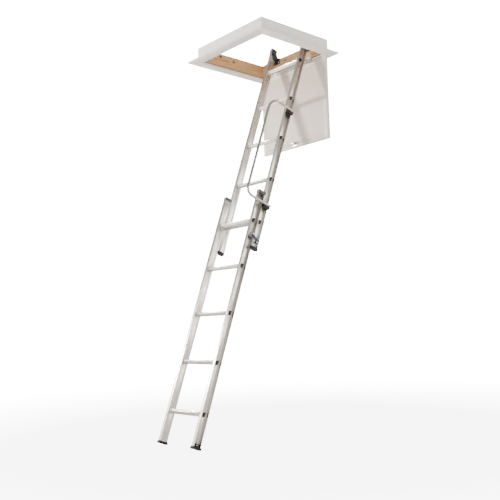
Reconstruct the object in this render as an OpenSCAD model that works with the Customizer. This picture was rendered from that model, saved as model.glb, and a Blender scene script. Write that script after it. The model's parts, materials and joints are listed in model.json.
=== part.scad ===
// Two-section sliding loft ladder in its hatch: timber surround, trapdoor, upper and lower sections.
// +Z is up and the climber faces +Y, towards the hinge side. The origin is the middle of the hatch opening,
// in the plane of the ceiling, so the ladder hangs below it and the timber lining stands above it.

/* [Ladder] */
// Angle between the ladder and the floor, in degrees
lean_angle = 70; // [66:1:74]
// Distance between rungs along the stiles
rung_pitch = 280; // [260:1:300]
// Length of each section's stiles
section_length = 1480; // [1440:1:1560]
// Distance from a stile's bottom end to its first rung
end_margin = 175; // [165:1:200]
// Clear width between the two stiles
clear_width = 280; // [240:1:340]
// Length that the two sections lap when the ladder is extended
section_lap = 350; // [320:1:400]

/* [Stile channel] */
// Depth of a stile, front to back
stile_depth = 46; // [44:0.5:54]
// Width of a stile, web to flange edge
stile_width = 20; // [18:0.5:26]
// Thickness of a stile's web
web_t = 1.8; // [1.4:0.1:2.6]
// Thickness of a stile's flanges
flange_t = 2; // [1.6:0.1:2.4]
// Gap between the two sections where they slide
slide_gap = 1.5; // [1.2:0.1:2]

/* [Rungs] */
// Half distance between the centres of a rung's two upper corners
rung_corner_x = 9; // [8:0.5:10]
// Height of a rung's upper corner centres above its axis
rung_corner_z = 6.5; // [5:0.5:7]
// Depth of a rung's lower corner centre below its axis
rung_point_z = 9; // [8:0.5:10]
// Radius of a rung's corners
rung_corner_r = 5; // [4:0.5:6]
// Wall thickness of a rung
rung_wall = 1.6; // [1.2:0.1:2.4]

/* [Handrail] */
// Diameter of the handrail tube
rail_dia = 16; // [14:1:20]
// Wall thickness of the handrail tube
rail_wall = 1.5; // [1:0.1:2]
// Distance from the lower section's front face to the rail's centre line
rail_reach = 95; // [80:1:120]
// Distance between the rail's two legs along the stile
rail_length = 640; // [560:1:680]
// Distance from the lower leg to the upper section's bottom end
rail_start = 281; // [276:1:290]
// Bend radius at the rail's upper corner
rail_top_bend = 80; // [40:1:90]
// Bend radius at the rail's lower corner
rail_low_bend = 45; // [30:1:80]

/* [Hatch] */
// Width of the hatch opening, along the hinge side
opening_width = 562; // [520:1:640]
// Length of the hatch opening, hinge side to front
opening_length = 515; // [500:1:600]
// Height of the lining boards above the ceiling
lining_height = 85; // [75:1:110]
// Thickness of the lining boards
lining_t = 18; // [16:1:22]
// Width of the white trim boards under the ceiling
trim_width = 65; // [50:1:80]
// Thickness of the trim boards
trim_t = 12; // [10:1:16]
// Depth of the rebate in the trim that the lining boards stand in
trim_rebate = 2; // [1:0.5:4]

/* [Trapdoor] */
// Amount by which the door laps the opening on each side
door_lap = 10; // [6:1:14]
// Thickness of the door
door_t = 20; // [16:1:24]
// Width of the door's edge frame
door_frame_width = 32; // [28:1:45]
// Distance from the centre to each hinge
hinge_offset = 155; // [120:1:200]

/* [Pivot] */
// Height of the pivot bolts above the top of the hinge-side lining
pivot_rise = 31; // [28:1:40]
// Distance of the pivot bolts in front of the hinge-side lining
pivot_setback = 22; // [20:1:34]
// Distance from the pivot bolts to the stiles' top ends
pivot_to_end = 40; // [30:1:60]

/* [Hidden] */
$fn = 48;

// Every cut runs past the faces it opens by this much
past = 1;
// Radial clearance of a pin that turns in its bore, and of a fastener in its hole
running_play = 0.05;
fastener_play = 0.1;

// Places along the ladder, measured from the lower section's bottom rung. The ladder's own frame has z
// along the stiles and y square to them, towards the back, with y = 0 at the lower section's middle.
lower_bottom = -end_margin;
lower_top = lower_bottom + section_length;
upper_bottom = lower_top - section_lap;
upper_top = upper_bottom + section_length;
upper_rung_start = upper_bottom + end_margin;
section_offset = stile_depth + slide_gap;
half_depth = stile_depth / 2;
web_in = clear_width / 2;
web_out = web_in + web_t;
tip = web_in + stile_width;

// Rubber boots on the stiles' bottom ends
sole_t = 6;
boot_wall = 4;
boot_rise = 8;
boot_web = 1;
tongue_half_y = 11;
tongue_set = 7;
foot_bottom = lower_bottom - sole_t;

// Inner faces of the front and hinge-side lining boards, and the heights of the surround
front_y = -opening_length / 2;
back_y = opening_length / 2;
lining_top = lining_height;
trim_z = -trim_t;

// The pivot stands off the lining, and the ladder's own origin follows from it
pivot_along = upper_top - pivot_to_end;
pivot_z = lining_top + pivot_rise;
ladder_y = back_y - pivot_setback - section_offset * sin(lean_angle) - pivot_along * cos(lean_angle);
ladder_z = pivot_z + section_offset * cos(lean_angle) - pivot_along * sin(lean_angle);

// Colours
mill = [0.72, 0.71, 0.68];
bright = [0.82, 0.82, 0.80];
pine = [0.86, 0.66, 0.42];
white_paint = [0.93, 0.92, 0.89];
door_paint = [0.86, 0.83, 0.78];
black = [0.10, 0.10, 0.10];
zinc = [0.72, 0.74, 0.78];

// ---------- helpers ----------

// Carries the ladder's own frame into the room
module on_ladder() {
    translate([0, ladder_y, ladder_z])
        rotate([-(90 - lean_angle), 0, 0])
            children();
}

// Places what is drawn against the hinge-side lining's inner face, at y = 0
module at_hinge_side() {
    translate([0, back_y, 0])
        children();
}

// Turns a mirrored copy to the left for side -1 and leaves the right as drawn for side 1
module at_side(side) {
    mirror([side < 0 ? 1 : 0, 0, 0])
        children();
}

// A flat shape drawn in (y, z), extruded from one x to another
module along_x(x0, x1) {
    translate([x0, 0, 0])
        rotate([90, 0, 90])
            linear_extrude(x1 - x0)
                children();
}

// A box from its two corners
module box(low, high) {
    translate(low)
        cube(high - low);
}

// A round bar along x, at (y, z)
module bar_x(x0, x1, y, z, r) {
    translate([x0, y, z])
        rotate([0, 90, 0])
            cylinder(r = r, h = x1 - x0);
}

// A dome-headed rivet or screw along x. Its shank runs from x0 to x1 and its head stands beyond x1
module headed_pin(x0, x1, y, z, shank_r, head_r, head_h) {
    bar_x(x0, x1, y, z, shank_r);
    translate([x1, y, z])
        rotate([0, 90, 0])
            cylinder(r1 = head_r, r2 = head_r * 0.7, h = head_h);
}

// ---------- hatch surround ----------

// Outer limits of the lining box
lining_x = opening_width / 2 + lining_t;
screw_r = 2.5;
joist_screw_spacing = 300;
joist_screw_z = lining_top / 2;
joist_screw_r = 3;
corner_screw_inset = 22;
corner_screw_z = [corner_screw_inset, lining_top - corner_screw_inset];
corner_screw_bite = 32;
screw_head_r = 4.6;
screw_head_h = 1.8;

// The end boards run the full width and are screwed to the side boards at the corners
module end_board(y0) {
    color(pine)
        difference() {
            box([-lining_x, y0, -trim_rebate], [lining_x, y0 + lining_t, lining_top]);
            for (sx = [-1, 1], z = corner_screw_z)
                translate([sx * (lining_x - lining_t / 2), y0 - past, z])
                    rotate([-90, 0, 0])
                        cylinder(r = screw_r, h = lining_t + 2 * past);
        }
}

// A side board has two clearance holes for the screws that hold the surround to the joist
module side_board(side) {
    color(pine)
        at_side(side)
            difference() {
                box([opening_width / 2, front_y, -trim_rebate], [lining_x, back_y, lining_top]);
                for (sy = [-1, 1])
                    bar_x(opening_width / 2 - past, lining_x + past,
                          sy * joist_screw_spacing / 2, joist_screw_z, joist_screw_r);
                for (y = [front_y - past, back_y - corner_screw_bite], z = corner_screw_z)
                    translate([lining_x - lining_t / 2, y, z])
                        rotate([-90, 0, 0])
                            cylinder(r = screw_r, h = corner_screw_bite + past);
            }
}

module lining_hinge_side() end_board(back_y);
module lining_front() {
    color(pine)
        difference() {
            end_board(front_y - lining_t);
            box([keeper_x[0], front_y - keeper_t, keeper_z[0]], [keeper_x[1], front_y + past, keeper_z[1]]);
            box([slot_x[0], front_y - slot_depth, slot_z[0]], [slot_x[1], front_y + past, slot_z[1]]);
        }
}
module lining_left() side_board(-1);
module lining_right() side_board(1);

// Screws through the end boards into the side boards, with their heads on the outside
module lining_screws() {
    shank = corner_screw_bite - 2 + lining_t;
    color(zinc)
        for (end = [-1, 1], sx = [-1, 1], z = corner_screw_z)
            translate([sx * (lining_x - lining_t / 2), end * (back_y + lining_t), z])
                rotate([end * -90, 0, 0]) {
                    translate([0, 0, -shank])
                        cylinder(r = screw_r - fastener_play, h = shank);
                    cylinder(r1 = screw_head_r, r2 = screw_head_r - 1, h = screw_head_h);
                }
}

// Mitred trim boards, nailed up under the lining. The inner edge is flush with the lining's face, and the
// lower outer corner is bevelled.
trim_bevel = 3;
module trim_board(length) {
    // Drawn along x, inner edge on y = 0, growing towards +y, centred on x = 0
    outer = length / 2 + trim_width;
    bevel_outer = outer - trim_bevel;
    difference() {
        translate([0, 0, trim_z])
            linear_extrude(trim_t)
                polygon([[-length / 2, 0], [length / 2, 0], [outer, trim_width], [-outer, trim_width]]);
        translate([-outer - past, trim_width, trim_z])
            rotate([45, 0, 0])
                translate([0, -trim_bevel / sqrt(2), -trim_bevel])
                    cube([2 * (outer + past), trim_bevel * sqrt(2), 2 * trim_bevel]);
        box([-outer - past, -past, -trim_rebate], [outer + past, lining_t, past]);
    }
}
module trim_hinge_side() {
    color(white_paint)
        at_hinge_side()
            trim_board(opening_width);
}
module trim_front() {
    color(white_paint)
        translate([0, front_y, 0])
            rotate([0, 0, 180])
                trim_board(opening_width);
}
module trim_side(side) {
    color(white_paint)
        translate([side * opening_width / 2, 0, 0])
            rotate([0, 0, -side * 90])
                trim_board(opening_length);
}
module trim_left() trim_side(-1);
module trim_right() trim_side(1);

// ---------- pivot brackets ----------

cheek_t = 3;
cheek_gap = 1;
cheek_r = 18;
cheek_rise = 20;
bracket_plate_t = 2.5;
bracket_drop = 34;
bracket_in = web_in - 30;
bracket_out = tip + 26;
inner_cheek_x = web_in - cheek_gap - cheek_t;
outer_cheek_x = tip + cheek_gap;
pivot_bolt_r = 4.95;
bracket_screw_r = 2.4;
bracket_screw_x = [bracket_in + 10, bracket_out - 9];
bracket_screw_z = lining_top - 22;
cheek_foot = 8;
cheek_step = [16, 30];
cheek_neck = 6;

// One ear: it reaches up beside the stile, carries the pivot bolt, steps down behind it and stands on
// the lining's top edge
module cheek(x0) {
    along_x(x0, x0 + cheek_t)
        difference() {
            union() {
                hull()
                    for (rise = [0, cheek_rise])
                        translate([-pivot_setback, pivot_z + rise])
                            circle(r = cheek_r);
                polygon([
                    [-pivot_setback - cheek_r, pivot_z],
                    [-pivot_setback - cheek_neck, lining_top - cheek_foot],
                    [-bracket_plate_t, lining_top - cheek_foot],
                    [-bracket_plate_t, lining_top],
                    [lining_t, lining_top],
                    [lining_t, lining_top + cheek_step[0]],
                    [cheek_neck, lining_top + cheek_step[0]],
                    [cheek_neck, lining_top + cheek_step[1]],
                    [-pivot_setback, pivot_z + cheek_r],
                ]);
            }
            translate([-pivot_setback, pivot_z])
                circle(r = pivot_bolt_r + running_play);
        }
}
module pivot_bracket(side) {
    color(black)
        at_hinge_side()
            at_side(side) {
            cheek(inner_cheek_x);
            cheek(outer_cheek_x);
            difference() {
                union() {
                    box([bracket_in, -bracket_plate_t, lining_top - bracket_drop],
                        [bracket_out, 0, lining_top + bracket_plate_t]);
                    box([bracket_in, -bracket_plate_t, lining_top],
                        [bracket_out, lining_t, lining_top + bracket_plate_t]);
                }
                for (x = bracket_screw_x)
                    translate([x, -bracket_plate_t - past, bracket_screw_z])
                        rotate([-90, 0, 0])
                            cylinder(r = bracket_screw_r + fastener_play, h = bracket_plate_t + 2 * past);
            }
        }
}
module pivot_bracket_left() pivot_bracket(-1);
module pivot_bracket_right() pivot_bracket(1);

// Pan-head wood screws through the back plates. The boards' pilot holes close round the threads.
module bracket_screws() {
    color(zinc)
        for (side = [-1, 1], x = bracket_screw_x)
            translate([side * x, back_y, bracket_screw_z]) {
                translate([0, -bracket_plate_t, 0])
                    rotate([-90, 0, 0])
                        cylinder(r = bracket_screw_r, h = bracket_plate_t);
                translate([0, -bracket_plate_t, 0])
                    rotate([90, 0, 0])
                        cylinder(r1 = screw_head_r, r2 = screw_head_r - 1.5, h = screw_head_h);
            }
}

// Pivot bolts with their heads outside and locknuts inside, through both ears and the stile
nut_h = 6;
nut_r = 9;
bolt_end = 2;
bolt_head_r = 8.5;
bolt_head_h = 5;
module pivot_bolts() {
    head_x = outer_cheek_x + cheek_t;
    nut_x = inner_cheek_x - nut_h;
    color(zinc)
        at_hinge_side()
            for (side = [-1, 1])
                at_side(side) {
                    bar_x(nut_x - bolt_end, head_x, -pivot_setback, pivot_z, pivot_bolt_r);
                    bar_x(head_x, head_x + bolt_head_h, -pivot_setback, pivot_z, bolt_head_r);
                    translate([nut_x, -pivot_setback, pivot_z])
                        rotate([0, 90, 0])
                            cylinder(r = nut_r, h = nut_h, $fn = 6);
                }
}

// ---------- trapdoor hinges ----------

hinge_width = 50;
leaf_t = 1.6;
leaf_h = 22;
pin_head_t = 1;
pin_head_r = 2.4;
leaf_screw_head_r = 3;
door_gap = 0.5;
knuckle_r = 3.2;
hinge_pin_r = 1.5;
leaf_gap = 0.5;
hinge_y = -knuckle_r - 0.8;
hinge_z = trim_z + 2;
mid_knuckle = 20;
knuckle_play = 0.3;
leaf_screw_r = 1.8;
leaf_screw_x = [-17, 0, 17];
leaf_screw_drop = 15;
frame_leaf_low = hinge_z + knuckle_r + leaf_gap;
door_leaf_high = hinge_z - knuckle_r - leaf_gap;

// A drilled leaf with its plate from z0 to z1, its back on y1
module leaf_plate(y1, z0, z1, screw_z) {
    difference() {
        box([-hinge_width / 2, y1 - leaf_t, z0], [hinge_width / 2, y1, z1]);
        for (x = leaf_screw_x)
            translate([x, y1 - leaf_t - past, screw_z])
                rotate([-90, 0, 0])
                    cylinder(r = leaf_screw_r + fastener_play, h = leaf_t + 2 * past);
        bar_x(-hinge_width, hinge_width, hinge_y, hinge_z, hinge_pin_r + running_play);
    }
}
module knuckle(x0, x1) {
    difference() {
        bar_x(x0, x1, hinge_y, hinge_z, knuckle_r);
        bar_x(x0 - past, x1 + past, hinge_y, hinge_z, hinge_pin_r + running_play);
    }
}
frame_leaf_screw_z = hinge_z + leaf_screw_drop;
door_leaf_screw_z = hinge_z - leaf_screw_drop;

// Frame leaves: two outer knuckles each, screwed to the lining's face
module hinge_frame_leaves() {
    color(zinc)
        for (side = [-1, 1])
            translate([side * hinge_offset, back_y, 0]) {
                leaf_plate(0, frame_leaf_low, hinge_z + leaf_h, frame_leaf_screw_z);
                for (end = [-1, 1]) {
                    x0 = end < 0 ? -hinge_width / 2 : mid_knuckle / 2;
                    x1 = end < 0 ? -mid_knuckle / 2 : hinge_width / 2;
                    knuckle(x0, x1);
                    box([x0, -leaf_t, hinge_z + leaf_t], [x1, 0, frame_leaf_low]);
                    box([x0, hinge_y, hinge_z + leaf_t + 0.2], [x1, 0, hinge_z + knuckle_r]);
                }
            }
}

// Door leaves: the middle knuckle, screwed to the door's inner face
module hinge_door_leaves() {
    color(zinc)
        for (side = [-1, 1])
            translate([side * hinge_offset, back_y, 0]) {
                leaf_plate(door_gap, hinge_z - leaf_h, door_leaf_high, door_leaf_screw_z);
                mid = mid_knuckle / 2 - knuckle_play;
                knuckle(-mid, mid);
                box([-mid, hinge_y, door_leaf_high], [mid, door_gap, trim_z - leaf_gap]);
            }
}
module hinge_pins() {
    color(zinc)
        for (side = [-1, 1])
            translate([side * hinge_offset, back_y, 0]) {
                bar_x(-hinge_width / 2, hinge_width / 2, hinge_y, hinge_z, hinge_pin_r);
                for (end = [-1, 1])
                    at_side(end)
                        bar_x(hinge_width / 2, hinge_width / 2 + pin_head_t, hinge_y, hinge_z, pin_head_r);
            }
}
module leaf_screws(y1, z) {
    for (side = [-1, 1], x = leaf_screw_x)
        translate([side * hinge_offset + x, back_y + y1 - leaf_t, z]) {
            rotate([-90, 0, 0])
                cylinder(r = leaf_screw_r, h = leaf_t);
            rotate([90, 0, 0])
                cylinder(r1 = leaf_screw_head_r, r2 = leaf_screw_head_r - 1, h = 1);
        }
}
module hinge_frame_screws() {
    color(zinc)
        leaf_screws(0, frame_leaf_screw_z);
}
module hinge_door_screws() {
    color(zinc)
        leaf_screws(door_gap, door_leaf_screw_z);
}

// ---------- trapdoor ----------

door_x = opening_width / 2 + door_lap;
door_top = trim_z - 1;
door_y = back_y + door_gap;
door_bottom = door_top - opening_length - door_lap;
door_back = door_y + door_t;
panel_inset = 1;
catch_z = door_bottom + 26;
spindle_r = 4;
spindle_hole_play = 0.5;

module door_panel() {
    color(door_paint)
        box([-door_x + door_frame_width, door_y + panel_inset, door_bottom + door_frame_width],
            [door_x - door_frame_width, door_back - panel_inset, door_top - door_frame_width]);
}
module door_stile(side) {
    color(door_paint)
        at_side(side)
            box([door_x - door_frame_width, door_y, door_bottom], [door_x, door_back, door_top]);
}
module door_stile_left() door_stile(-1);
module door_stile_right() door_stile(1);
module door_rail(z0) {
    box([-door_x + door_frame_width, door_y, z0],
        [door_x - door_frame_width, door_back, z0 + door_frame_width]);
}
module door_rail_hinge() {
    color(door_paint)
        door_rail(door_top - door_frame_width);
}
module door_rail_catch() {
    color(door_paint)
        difference() {
            door_rail(door_bottom);
            translate([0, door_y - past, catch_z])
                rotate([-90, 0, 0])
                    cylinder(r = spindle_r + spindle_hole_play, h = door_t + 2 * past);
        }
}

// Turn catch: a fixed plate on the inner face, and a spindle with a tongue inside and a knob outside
catch_plate_w = 46;
catch_plate_z = [catch_z - 18, catch_z + 8];
catch_plate_t = 2;
tongue_t = 3;
tongue_x = [-7, 18];
tongue_half = 6;
collar_r = 6;
collar_h = 20;
turn_gap = 0.4;
knob_r = 12;
knob_t = 4;
knob_bar = [11, 8, 2.5];
module door_catch_plate() {
    color(zinc)
        difference() {
            box([-catch_plate_w / 2, door_y - catch_plate_t, catch_plate_z[0]],
                [catch_plate_w / 2, door_y, catch_plate_z[1]]);
            translate([0, door_y - catch_plate_t - past, catch_z])
                rotate([-90, 0, 0])
                    cylinder(r = spindle_r + running_play, h = catch_plate_t + 2 * past);
        }
}
module door_catch_turn() {
    collar_y = door_y - catch_plate_t - turn_gap;
    tongue_y = collar_y - collar_h;
    knob_y = door_back + turn_gap;
    bar_y = knob_y + knob_t;
    color(zinc)
        translate([0, 0, catch_z]) {
            translate([0, tongue_y, 0])
                rotate([-90, 0, 0])
                    cylinder(r = spindle_r, h = knob_y - tongue_y);
            translate([0, tongue_y, 0])
                rotate([-90, 0, 0])
                    cylinder(r = collar_r, h = collar_h);
            box([tongue_x[0], tongue_y - tongue_t, -tongue_half], [tongue_x[1], tongue_y, tongue_half]);
            translate([0, knob_y, 0])
                rotate([-90, 0, 0])
                    cylinder(r = knob_r, h = knob_t);
            box([-knob_bar.x, bar_y, -knob_bar.z], [knob_bar.x, bar_y + knob_bar.y, knob_bar.z]);
        }
}

// Keeper plate, let into the front lining board. With the door shut the catch's spindle comes to closed_y,
// and the tongue, at closed_z, turns through the keeper's slot into the board.
keeper_t = 1.5;
keeper_margin = 6;
slot_play = 1;
closed_y = back_y + hinge_y - (hinge_z - catch_z);
closed_z = hinge_z - (door_gap - hinge_y) + catch_plate_t + turn_gap + collar_h;
slot_x = [-tongue_half - slot_play, tongue_x[1]];
slot_z = [closed_z - slot_play, closed_z + tongue_t + slot_play];
slot_depth = tongue_x[1] - (closed_y - front_y) + 3 * slot_play;
keeper_x = [slot_x[0] - keeper_margin, slot_x[1] + keeper_margin];
keeper_z = [slot_z[0] - keeper_margin, slot_z[1] + keeper_margin];
module door_keeper() {
    color(zinc)
        difference() {
            box([keeper_x[0], front_y - keeper_t, keeper_z[0]], [keeper_x[1], front_y, keeper_z[1]]);
            box([slot_x[0], front_y - keeper_t - past, slot_z[0]], [slot_x[1], front_y + past, slot_z[1]]);
        }
}

// ---------- stiles ----------

// Rounded triangle with a flat tread on top. The corner arcs end where the flats begin.
rung_side_angle = atan2(rung_corner_x, rung_corner_z + rung_point_z);
rung_centres = [[rung_corner_x, rung_corner_z], [0, -rung_point_z], [-rung_corner_x, rung_corner_z]];
rung_arc_start = [90, -rung_side_angle, rung_side_angle - 180];
rung_arc_span = [90 + rung_side_angle, 180 - 2 * rung_side_angle, 90 + rung_side_angle];
arc_steps = 5;
module rung_outline(grow) {
    polygon([
        for (corner = [0:2], step = [0:arc_steps])
            let (angle = rung_arc_start[corner] - rung_arc_span[corner] * step / arc_steps)
                rung_centres[corner] + (rung_corner_r + grow) * [cos(angle), sin(angle)]
    ]);
}

// The outline stands level when the ladder leans, so it is turned back in the ladder's own frame
module rung_bar(x0, x1, grow) {
    rotate([90 - lean_angle, 0, 0])
        along_x(x0, x1)
            rung_outline(grow);
}

// A channel that opens outwards, with its web on the climber's side of the rungs
module channel(z0, z1) {
    difference() {
        box([web_in, -half_depth, z0], [tip, half_depth, z1]);
        box([web_out, -half_depth + flange_t, z0 - past], [tip + past, half_depth - flange_t, z1 + past]);
    }
}
module rung_holes(first) {
    for (i = [0:4])
        translate([0, 0, first + i * rung_pitch])
            rung_bar(web_in - past, web_out + past, 0);
}

// Fastener holes shared by a stile, the piece it carries and the fastener
rail_leg_z = [upper_bottom + rail_start, upper_bottom + rail_start + rail_length];
rail_bolt_y = [-8, 14];
rail_bolt_r = 2.5;
bush_r = 11;
bush_spigot_r = 8;
bush_stand = 0.6;
catch_rivets = [[-12, 88], [12, 90], [12, 36]];
catch_pin_at = [4.5, 47];
catch_pin_r = 3;
stud_at = [12, upper_bottom + 83.5];
stud_r = 4;
foot_rivet_z = lower_bottom + boot_rise + 8;
rivet_r = 2.4;
rivet_head_r = 4.2;
rivet_head_h = 1.6;

module upper_stile(side) {
    color(mill)
        on_ladder()
            translate([0, section_offset, 0])
                at_side(side)
                    difference() {
                        channel(upper_bottom, upper_top);
                        rung_holes(upper_rung_start);
                        bar_x(web_in - past, web_out + past, 0, pivot_along, bush_spigot_r);
                        if (side > 0) {
                            for (z = rail_leg_z, y = rail_bolt_y)
                                bar_x(web_in - past, web_out + past, y, z, rail_bolt_r + fastener_play);
                            for (at = catch_rivets)
                                bar_x(web_in - past, web_out + past, at.x, upper_bottom + at.y,
                                      rivet_r + fastener_play);
                            bar_x(web_in - past, web_out + past, catch_pin_at.x, upper_bottom + catch_pin_at.y,
                                  catch_pin_r + fastener_play);
                        }
                    }
}
module upper_stile_left() upper_stile(-1);
module upper_stile_right() upper_stile(1);

module lower_stile(side) {
    color(mill)
        on_ladder()
            at_side(side)
                difference() {
                    channel(lower_bottom, lower_top);
                    rung_holes(0);
                    bar_x(web_in - past, web_out + past, 0, foot_rivet_z, rivet_r + fastener_play);
                    if (side > 0)
                        bar_x(web_in - past, web_out + past, stud_at.x, stud_at.y, rivet_r + fastener_play);
                }
}
module lower_stile_left() lower_stile(-1);
module lower_stile_right() lower_stile(1);

// ---------- rungs ----------

swage = 1.7;
swage_grow = 1.5;
bead_t = 2.5;
bead_grow = 2.5;

// A hollow rung passes through both webs. A bead inside and a swaged ring outside hold each end.
module rung(z) {
    color(bright)
        on_ladder()
            translate(z < upper_rung_start - 1 ? [0, 0, z] : [0, section_offset, z])
                difference() {
                    union() {
                        rung_bar(-web_out - swage, web_out + swage, 0);
                        for (side = [-1, 1])
                            at_side(side) {
                                rung_bar(web_in - bead_t, web_in, bead_grow);
                                rung_bar(web_out, web_out + swage, swage_grow);
                            }
                    }
                    rung_bar(-web_out - swage - past, web_out + swage + past, -rung_wall);
                }
}
module upper_rung_1() rung(upper_rung_start);
module upper_rung_2() rung(upper_rung_start + rung_pitch);
module upper_rung_3() rung(upper_rung_start + 2 * rung_pitch);
module upper_rung_4() rung(upper_rung_start + 3 * rung_pitch);
module upper_rung_5() rung(upper_rung_start + 4 * rung_pitch);

// Black plugs close the rungs' open ends
plug_cap_t = 2.5;
plug_cap_grow = 0.5;
plug_depth = 12;
module rung_plugs(y, first) {
    color(black)
        on_ladder()
            for (i = [0:4], side = [-1, 1])
                translate([0, y, first + i * rung_pitch])
                    at_side(side) {
                        rung_bar(web_out + swage - plug_depth, web_out + swage, -rung_wall);
                        rung_bar(web_out + swage, web_out + swage + plug_cap_t, plug_cap_grow);
                    }
}
module upper_rung_plugs() rung_plugs(section_offset, upper_rung_start);
module lower_rung_plugs() rung_plugs(0, 0);

// ---------- pivot bushes ----------

// A bush fills the channel between the web and the outer ear, with a spigot through the web
module pivot_bushes() {
    color(black)
        on_ladder()
            for (side = [-1, 1])
                translate([0, section_offset, 0])
                    at_side(side)
                        difference() {
                            union() {
                                bar_x(web_out, tip + bush_stand, 0, pivot_along, bush_r);
                                bar_x(web_in, web_out, 0, pivot_along, bush_spigot_r);
                            }
                            bar_x(web_in - past, tip + bush_stand + past, 0, pivot_along,
                                  pivot_bolt_r + running_play);
                        }
}

// ---------- slide guides ----------

guide_wall = 2.5;
guide_rise = 16;
guide_cap = 3;
guide_play = 0.6;
lip_play = 0.8;
lip_t = 2.6;
lip_reach = 11;
pad_t = 3;
pad_set = 1.5;
plug_set = 2;
hook_x = tip + guide_play;

// Plug that fills a channel's end
module channel_plug(z0, z1) {
    box([web_out, -half_depth + flange_t, z0], [tip - plug_set, half_depth - flange_t, z1]);
}

// On the upper section's bottom end: its lip hooks behind the lower stile's rear flange
module lower_guide(side) {
    z0 = upper_bottom - guide_cap;
    z1 = upper_bottom + guide_rise;
    lip_y = half_depth - flange_t - lip_play;
    pad_y = lip_y - lip_t + pad_set;
    color(black)
        on_ladder()
            at_side(side) {
                translate([0, section_offset, 0]) {
                    channel_plug(upper_bottom, z1);
                    box([web_in - pad_t, -half_depth, z0], [hook_x + guide_wall, half_depth, upper_bottom]);
                }
                box([web_in - pad_t, pad_y, z0],
                    [web_in - guide_play, section_offset + half_depth, z1]);
                box([hook_x, lip_y - lip_t, z0], [hook_x + guide_wall, section_offset + half_depth, z1]);
                box([hook_x + guide_wall - lip_reach, lip_y - lip_t, z0], [hook_x + guide_wall, lip_y, z1]);
            }
}
module lower_guide_left() lower_guide(-1);
module lower_guide_right() lower_guide(1);

// On the lower section's top end: its lip hooks behind the upper stile's front flange
module top_guide(side) {
    z0 = lower_top - guide_rise;
    z1 = lower_top + guide_cap;
    lip_y = section_offset - half_depth + flange_t + lip_play;
    color([0.28, 0.28, 0.28])
        on_ladder()
            at_side(side) {
                channel_plug(z0, lower_top);
                box([web_in - pad_t, -half_depth, lower_top], [hook_x + guide_wall, half_depth, z1]);
                box([web_in - pad_t, -half_depth, z0], [web_in, half_depth, lower_top]);
                box([hook_x, -half_depth, z0], [hook_x + guide_wall, lip_y + lip_t, z1]);
                box([hook_x + guide_wall - lip_reach, lip_y, z0], [hook_x + guide_wall, lip_y + lip_t, z1]);
            }
}
module top_guide_left() top_guide(-1);
module top_guide_right() top_guide(1);

// ---------- handrail ----------

rail_r = rail_dia / 2;
rail_clear = 3.4;
rail_tail = 2;
rail_x = hook_x + guide_wall + rail_clear + rail_r;
rail_front_y = -half_depth - rail_reach;
rail_end_y = section_offset + half_depth + rail_tail;

// A bent U of round bar: a short upper leg, a long grip and a short lower leg, each leg tail longer
module rail_path(r, tail) {
    low = rail_leg_z[0];
    high = rail_leg_z[1];
    translate([rail_x, 0, 0]) {
        translate([0, rail_front_y + rail_low_bend, low])
            rotate([-90, 0, 0])
                cylinder(r = r, h = rail_end_y - rail_front_y - rail_low_bend + tail);
        translate([0, rail_front_y + rail_top_bend, high])
            rotate([-90, 0, 0])
                cylinder(r = r, h = rail_end_y - rail_front_y - rail_top_bend + tail);
        translate([0, rail_front_y, low + rail_low_bend])
            cylinder(r = r, h = high - low - rail_low_bend - rail_top_bend);
        translate([0, rail_front_y + rail_low_bend, low + rail_low_bend])
            rotate([0, 90, 0])
                rotate([0, 0, -90])
                    rotate_extrude(angle = 90)
                        translate([rail_low_bend, 0])
                            circle(r = r);
        translate([0, rail_front_y + rail_top_bend, high - rail_top_bend])
            rotate([0, 90, 0])
                rotate([0, 0, 180])
                    rotate_extrude(angle = 90)
                        translate([rail_top_bend, 0])
                            circle(r = r);
    }
}
module rail_bolt_bores(x0, x1, r) {
    for (z = rail_leg_z, y = rail_bolt_y)
        bar_x(x0, x1, section_offset + y, z, r);
}
module handrail() {
    color(bright)
        on_ladder()
            difference() {
                rail_path(rail_r, 0);
                rail_path(rail_r - rail_wall, past);
                rail_bolt_bores(rail_x - rail_r - past, rail_x + rail_r + past, rail_bolt_r + fastener_play);
            }
}

// Push-in caps close the tube's two open ends
rail_cap_t = 2;
rail_cap_plug = 6;
module handrail_caps() {
    color(black)
        on_ladder()
            for (z = rail_leg_z)
                translate([rail_x, rail_end_y - rail_cap_plug, z])
                    rotate([-90, 0, 0]) {
                        cylinder(r = rail_r - rail_wall, h = rail_cap_plug);
                        translate([0, 0, rail_cap_plug])
                            cylinder(r = rail_r, h = rail_cap_t);
                    }
}

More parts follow.
